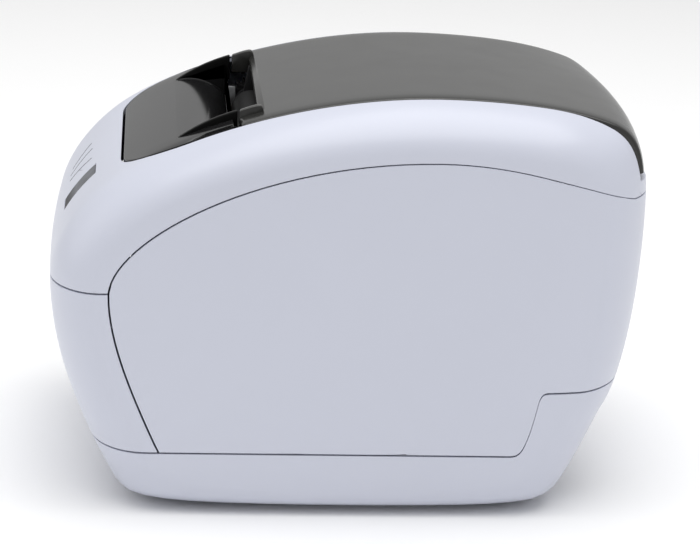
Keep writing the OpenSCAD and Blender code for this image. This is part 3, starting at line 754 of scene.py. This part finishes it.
class LABEL_PRINTER_OT_lid(bpy.types.Operator):
    """Builds the smoked lid with its lip, fins and rolled rear edge"""

    bl_idname = "label_printer.lid"
    bl_label = "Lid"

    def execute(self, context):
        sizes, lid = context.scene.casing_sizes, context.scene.lid_sizes
        smoke = smoked_gloss(context.scene.finish_colours.smoke)
        cover = lid_shell("lid_skin", lid, sizes)
        finished(cover, "lid", smoke, ["lid_cover"], 0.35 * MM, angle=50)
        fin = mm((-42.2, 138.8), (-42.2, 145.8)) + bezier(
            *mm((-42.2, 145.8), (-39, 147), (-36.6, 147.9), (-34.8, 148)), 8)[1:]
        fin += bezier(*mm((-34.8, 148), (-33.7, 147.7), (-33.4, 146.4), (-33.4, 145.2)), 6)[1:]
        fin += mm((-34.9, 143), (-34.9, 138.8))
        half = lid.trough_half
        for side, name in ((-1, "lid_fin_left"), (1, "lid_fin_right")):
            low, high = sorted((side * half, side * (half + 3 * MM)))
            finished(rounded_bar(name, fin, low, high, 0.6 * MM), "lid", smoke, [])
        # rounded lip across the exit slot
        lip, back = height_at(lid.front), lid.front + 2.4 * MM
        ahead, low_z = lid.front - 0.3 * MM, lip - 3.2 * MM
        edge = [Vector((ahead, low_z)), Vector((ahead, lip - 0.1 * MM)),
                Vector((back, height_at(back) + 0.1 * MM)), Vector((back, low_z))]
        bar = rounded_bar("lid_lip_bar", edge, -half + 0.2 * MM, half - 0.2 * MM, 0.7 * MM, 4)
        finished(bar, "lid", smoke, [])
        return {"FINISHED"}


# ---------------------------------------------------------------- controls
class LABEL_PRINTER_OT_controls(bpy.types.Operator):
    """Builds the feed button and the status lights"""

    bl_idname = "label_printer.controls"
    bl_label = "Button and lights"

    def execute(self, context):
        blank = casing_blank("control_blank", context.scene.casing_sizes)
        low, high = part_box("feed_button")
        size = (high[0] - low[0], KEY_LENGTH, CUT_DEPTH)
        place = FACE @ Matrix.Translation(((low[0] + high[0]) / 2, 0, 0))
        key = flush_piece("feed_key_cap", blank, size, place)
        grey = key_finish(context.scene.finish_colours.key)
        finished(key, "feed_key", grey, ["feed_button"], 0.4 * MM, angle=50, clamp=True)
        strip_size = (LIGHT_WIDTH, LIGHT_LENGTH, CUT_DEPTH)
        for i, (x, lean) in enumerate(LIGHTS):
            place = FACE @ Matrix.Translation((x * MM, 0, 0)) @ Matrix.Rotation(math.radians(lean), 4, "Z")
            strip = flush_piece("status_light_%d" % (i + 1), blank, strip_size, place)
            finished(strip, "casing", light_finish(i), ["light_pipes"] if i == 0 else [])
        bpy.data.objects.remove(blank)
        return {"FINISHED"}


def flush_piece(name, blank, size, place, depth=2.2 * MM):
    """The part of the casing's skin inside a block, so that it lies flush in its slot."""
    piece = duplicate(blank, name)
    carve(piece, block("outline", size, place), "INTERSECT")
    return carve(piece, core_of(blank, depth), "DIFFERENCE")


# ---------------------------------------------------------------- inside pieces
def refined(node, body, material, edge, angle=32.0):
    """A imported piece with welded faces, rounded edges and its finish."""
    source = bpy.data.objects[node]
    piece = duplicate(source, node + "_detail")
    bm = bmesh.new()
    bm.from_mesh(piece.data)
    bmesh.ops.remove_doubles(bm, verts=bm.verts, dist=0.005 * MM)
    bmesh.ops.dissolve_limit(
        bm, angle_limit=math.radians(1.0), use_dissolve_boundaries=False, verts=bm.verts, edges=bm.edges)
    bm.to_mesh(piece.data)
    bm.free()
    return finished(piece, body, material, [node], edge, angle, clamp=True)


class LABEL_PRINTER_OT_insides(bpy.types.Operator):
    """Finishes the mechanism, the media bin, the electronics and the feet"""

    bl_idname = "label_printer.insides"
    bl_label = "Mechanism and insides"

    def execute(self, context):
        steel = metal("pressed_steel", (0.47, 0.48, 0.49), (0.32, 0.46), 30.0)
        bright = metal("ground_steel", (0.62, 0.63, 0.64), (0.16, 0.28), 90.0)
        alloy = metal("extruded_alloy", (0.66, 0.67, 0.68), (0.28, 0.40), 60.0)
        brass = metal("cut_brass", (0.72, 0.52, 0.20), (0.20, 0.32), 70.0)
        black = plastic("fine_black", (0.022, 0.022, 0.024), 0.10, (0.42, 0.55), 1500.0, 0.03 * MM)
        guide = plastic("guide_grey", (0.075, 0.077, 0.083), 0.08, (0.36, 0.48), 1500.0, 0.03 * MM)
        gearing = plastic("charcoal_acetal", (0.045, 0.045, 0.048), 0.03, (0.30, 0.40), 900.0, 0.01 * MM)
        rubber = plastic("ground_rubber", (0.009, 0.009, 0.0095), 0.15, (0.60, 0.75), 2200.0, 0.04 * MM)
        ceramic = plastic(
            "glazed_ceramic", (0.16, 0.10, 0.07), 0.12, (0.12, 0.22), 500.0, 0.003 * MM, coat=0.4
        )
        board = board_finish()
        looks = {
            "sheet_steel": (steel, 0.15), "bright_steel": (bright, 0.12), "head_aluminium": (alloy, 0.2),
            "brass": (brass, 0.05), "black_plastic": (black, 0.35), "guide_plastic": (guide, 0.5),
            "gear_plastic": (gearing, 0.08), "platen_rubber": (rubber, 0.3), "foot_rubber": (rubber, 0.6),
            "head_ceramic": (ceramic, 0.08), "circuit_board": (board, 0.15),
        }
        body_of = {n: b for b, names in frame["record"]["behaviour"]["bodies"].items() for n in names}
        for part in frame["record"]["subparts"]:
            node, slot_name = part["node"], part["material_slot"]
            if slot_name not in looks or node in ("tear_bar", "head_springs"):
                continue
            material, edge = looks[slot_name]
            refined(node, body_of[node], material, edge)
        springs = bpy.data.objects["head_springs"]
        springs.data.materials.clear()
        springs.data.materials.append(bright)
        return {"FINISHED"}


# ---------------------------------------------------------------- finishes
def shader(name):
    """A material with its node tree, shader and texture coordinates."""
    material = bpy.data.materials.new(name)
    material.use_nodes = True
    nodes, links = material.node_tree.nodes, material.node_tree.links
    principled = nodes["Principled BSDF"]
    coordinates = nodes.new("ShaderNodeTexCoord")
    return material, nodes, links, principled, coordinates.outputs["Object"]


def noise(nodes, links, vector, scale, detail=3.0, roughness=0.5):
    texture = nodes.new("ShaderNodeTexNoise")
    texture.inputs["Scale"].default_value = scale
    texture.inputs["Detail"].default_value = detail
    texture.inputs["Roughness"].default_value = roughness
    links.new(vector, texture.inputs["Vector"])
    return texture.outputs["Fac"]


def ramp(nodes, links, factor, stops):
    """A colour ramp between (position, colour) stops."""
    node = nodes.new("ShaderNodeValToRGB")
    elements = node.color_ramp.elements
    elements[0].position, elements[0].color = stops[0]
    elements[1].position, elements[1].color = stops[-1]
    for position, colour in stops[1:-1]:
        elements.new(position).color = colour
    links.new(factor, node.inputs["Fac"])
    return node.outputs["Color"]


def spread(nodes, links, factor, low, high):
    """Maps 0..1 onto low..high."""
    node = nodes.new("ShaderNodeMapRange")
    node.inputs["To Min"].default_value = low
    node.inputs["To Max"].default_value = high
    links.new(factor, node.inputs["Value"])
    return node.outputs["Result"]


def bumped(nodes, links, principled, height, strength, distance):
    bump = nodes.new("ShaderNodeBump")
    bump.inputs["Strength"].default_value = strength
    bump.inputs["Distance"].default_value = distance
    links.new(height, bump.inputs["Height"])
    links.new(bump.outputs["Normal"], principled.inputs["Normal"])


def shaded(colour, factor):
    return (colour[0] * factor, colour[1] * factor, colour[2] * factor, 1.0)


def plastic(name, colour, variation, roughness, grain, grain_depth, coat=0.0, specular=0.5):
    """Moulded plastic: slight colour drift, uneven gloss and a fine spark-eroded grain."""
    material, nodes, links, principled, where = shader(name)
    drift = noise(nodes, links, where, 14.0, 4.0)
    colour_out = ramp(nodes, links, drift, [
        (0.25, shaded(colour, 1 - variation)), (0.75, shaded(colour, 1 + variation))])
    links.new(colour_out, principled.inputs["Base Color"])
    cloud = noise(nodes, links, where, 60.0, 5.0)
    links.new(spread(nodes, links, cloud, roughness[0], roughness[1]), principled.inputs["Roughness"])
    principled.inputs["Specular IOR Level"].default_value = specular
    if coat:
        principled.inputs["Coat Weight"].default_value = coat
        principled.inputs["Coat Roughness"].default_value = 0.06
    fine = noise(nodes, links, where, grain, 2.0)
    bumped(nodes, links, principled, fine, 0.25, grain_depth)
    return material


def moulded_white(colour):
    return plastic("moulded_white", colour, 0.012, (0.30, 0.38), 2600.0, 0.02 * MM)


def gloss_black(colour):
    return plastic("gloss_black", colour, 0.10, (0.10, 0.16), 900.0, 0.004 * MM, specular=0.22)


def smoked_gloss(colour):
    return plastic("smoked_gloss", colour, 0.06, (0.17, 0.24), 1400.0, 0.006 * MM)


def metal(name, colour, roughness, grain):
    """Metal with fine lines drawn across the width and uneven gloss."""
    material, nodes, links, principled, where = shader(name)
    principled.inputs["Metallic"].default_value = 1.0
    drawn = nodes.new("ShaderNodeMapping")
    drawn.inputs["Scale"].default_value = (1.0, 28.0, 28.0)
    links.new(where, drawn.inputs["Vector"])
    lines = noise(nodes, links, drawn.outputs["Vector"], grain, 4.0)
    links.new(ramp(nodes, links, lines, [(0.3, shaded(colour, 0.86)), (0.7, shaded(colour, 1.1))]),
              principled.inputs["Base Color"])
    links.new(spread(nodes, links, lines, roughness[0], roughness[1]), principled.inputs["Roughness"])
    bumped(nodes, links, principled, lines, 0.15, 0.01 * MM)
    return material


def key_finish(colour):
    """Satin grey with a soft mottle, and painted shade that darkens its lower end for the shadow in its recess.
    """
    material, nodes, links, principled, where = shader("key_grey")
    mottle = noise(nodes, links, where, 260.0, 3.0)
    tone = ramp(nodes, links, mottle, [(0.3, shaded(colour, 0.72)), (0.7, shaded(colour, 1.15))])
    split = nodes.new("ShaderNodeSeparateXYZ")
    links.new(where, split.inputs["Vector"])
    # painted shade: the colour is scaled down towards the key's lower end to stand in for the recess shadow
    # there
    painted_recess_shade = nodes.new("ShaderNodeMapRange")
    painted_recess_shade.inputs["From Min"].default_value = 0.1045
    painted_recess_shade.inputs["From Max"].default_value = 0.1085
    painted_recess_shade.inputs["To Min"].default_value = 0.30
    links.new(split.outputs["Z"], painted_recess_shade.inputs["Value"])
    tone_under_painted_shade = nodes.new("ShaderNodeVectorMath")
    tone_under_painted_shade.operation = "SCALE"
    links.new(tone, tone_under_painted_shade.inputs[0])
    links.new(painted_recess_shade.outputs["Result"], tone_under_painted_shade.inputs["Scale"])
    links.new(tone_under_painted_shade.outputs["Vector"], principled.inputs["Base Color"])
    links.new(spread(nodes, links, mottle, 0.40, 0.52), principled.inputs["Roughness"])
    principled.inputs["Specular IOR Level"].default_value = 0.12
    return material


def light_finish(index):
    """Dark translucent strip over an unlit status light."""
    return plastic(
        "light_strip_%d" % (index + 1), (0.006, 0.006, 0.009), 0.2, (0.45, 0.55), 700.0, 0.003 * MM,
        specular=0.05,
    )


def board_finish():
    """Green solder mask with slightly raised tracks."""
    material, nodes, links, principled, where = shader("solder_mask")
    tracks = nodes.new("ShaderNodeTexVoronoi")
    tracks.feature = "DISTANCE_TO_EDGE"
    tracks.distance = "MANHATTAN"
    tracks.inputs["Scale"].default_value = 210.0
    links.new(where, tracks.inputs["Vector"])
    links.new(ramp(nodes, links, tracks.outputs["Distance"], [
        (0.04, (0.03, 0.20, 0.085, 1)), (0.09, (0.012, 0.10, 0.045, 1))]), principled.inputs["Base Color"])
    drift = noise(nodes, links, where, 90.0)
    links.new(spread(nodes, links, drift, 0.22, 0.34), principled.inputs["Roughness"])
    bumped(nodes, links, principled, tracks.outputs["Distance"], 0.2, 0.02 * MM)
    return material


# ---------------------------------------------------------------- stage
CAMERA = Vector((1061.25, -77.36, 359.39)) * MM
TARGET = Vector((0.0, 4.67, 70.19)) * MM
ROLL = math.radians(2.06)


def area_light(name, place, target, size, power, colour=(1, 1, 1)):
    data = bpy.data.lights.new(name, "AREA")
    data.shape = "RECTANGLE"
    data.size, data.size_y = size
    data.energy = power
    data.color = colour
    lamp = bpy.data.objects.new(name, data)
    bpy.context.scene.collection.objects.link(lamp)
    lamp.location = place
    lamp.rotation_mode = "QUATERNION"
    lamp.rotation_quaternion = (Vector(target) - Vector(place)).to_track_quat("-Z", "Y")
    return lamp


class LABEL_PRINTER_OT_stage(bpy.types.Operator):
    """Sets the floor, lights, world and camera"""

    bl_idname = "label_printer.stage"
    bl_label = "Stage"

    def execute(self, context):
        settings = context.scene.stage_settings
        bm = bmesh.new()
        bmesh.ops.create_grid(bm, x_segments=8, y_segments=8, size=3.0)
        floor = new_object("floor", bm)
        floor.data.materials.append(floor_finish(settings.floor))

        world = bpy.data.worlds.new("studio")
        world.use_nodes = True
        world.node_tree.nodes["Background"].inputs["Color"].default_value = (1, 1, 1, 1)
        world.node_tree.nodes["Background"].inputs["Strength"].default_value = 0.55
        context.scene.world = world
        context.scene.view_settings.view_transform = "Standard"
        area_light("top_soft", (0.1, 0.1, 1.5), (0, 0, 0.1), (1.6, 1.6), 20)
        area_light("side_soft", (1.6, -0.9, 0.9), (0, 0, 0.08), (1.2, 1.0), 0.5)
        area_light("front_soft", (-0.2, -1.5, 0.7), (0, 0, 0.08), (1.2, 0.9), 2.0)

        data = bpy.data.cameras.new("camera")
        data.lens = settings.lens
        data.sensor_width = 36
        data.clip_start, data.clip_end = 0.05, 20
        camera = bpy.data.objects.new("camera", data)
        context.scene.collection.objects.link(camera)
        camera.location = CAMERA
        camera.rotation_mode = "QUATERNION"
        aim = (TARGET - CAMERA).to_track_quat("-Z", "Y")
        camera.rotation_quaternion = aim @ Matrix.Rotation(ROLL, 3, "Z").to_quaternion()
        context.scene.camera = camera
        return {"FINISHED"}


def floor_finish(colour):
    material, nodes, links, principled, where = shader("pale_floor")
    drift = noise(nodes, links, where, 3.0, 2.0)
    links.new(ramp(nodes, links, drift, [(0.3, shaded(colour, 0.995)), (0.7, shaded(colour, 1.0))]),
              principled.inputs["Base Color"])
    principled.inputs["Roughness"].default_value = 0.75
    return material


# ---------------------------------------------------------------- panel and registration
class LABEL_PRINTER_PT_build(bpy.types.Panel):
    """Lists the printer's pieces"""

    bl_idname = "LABEL_PRINTER_PT_build"
    bl_label = "Label Printer"
    bl_space_type = "VIEW_3D"
    bl_region_type = "UI"
    bl_category = "Label Printer"

    def draw(self, context):
        for step in STEPS:
            self.layout.operator(step.bl_idname)


STEPS = (
    LABEL_PRINTER_OT_stage, LABEL_PRINTER_OT_casing, LABEL_PRINTER_OT_front_panel, LABEL_PRINTER_OT_tear_bar,
    LABEL_PRINTER_OT_lid, LABEL_PRINTER_OT_controls, LABEL_PRINTER_OT_insides,
)
GROUPS = {
    "casing_sizes": CasingSizes,
    "lid_sizes": LidSizes,
    "finish_colours": FinishColours,
    "stage_settings": StageSettings,
}


def register():
    for group in GROUPS.values():
        bpy.utils.register_class(group)
    for name, group in GROUPS.items():
        setattr(bpy.types.Scene, name, bpy.props.PointerProperty(type=group))
    for step in STEPS:
        bpy.utils.register_class(step)
    bpy.utils.register_class(LABEL_PRINTER_PT_build)


def unregister():
    bpy.utils.unregister_class(LABEL_PRINTER_PT_build)
    for step in reversed(STEPS):
        bpy.utils.unregister_class(step)
    for name in GROUPS:
        delattr(bpy.types.Scene, name)
    for group in reversed(GROUPS.values()):
        bpy.utils.unregister_class(group)


def main():
    register()
    for step in STEPS:
        space, name = step.bl_idname.split(".")
        getattr(getattr(bpy.ops, space), name)()


if __name__ == "__main__":
    main()
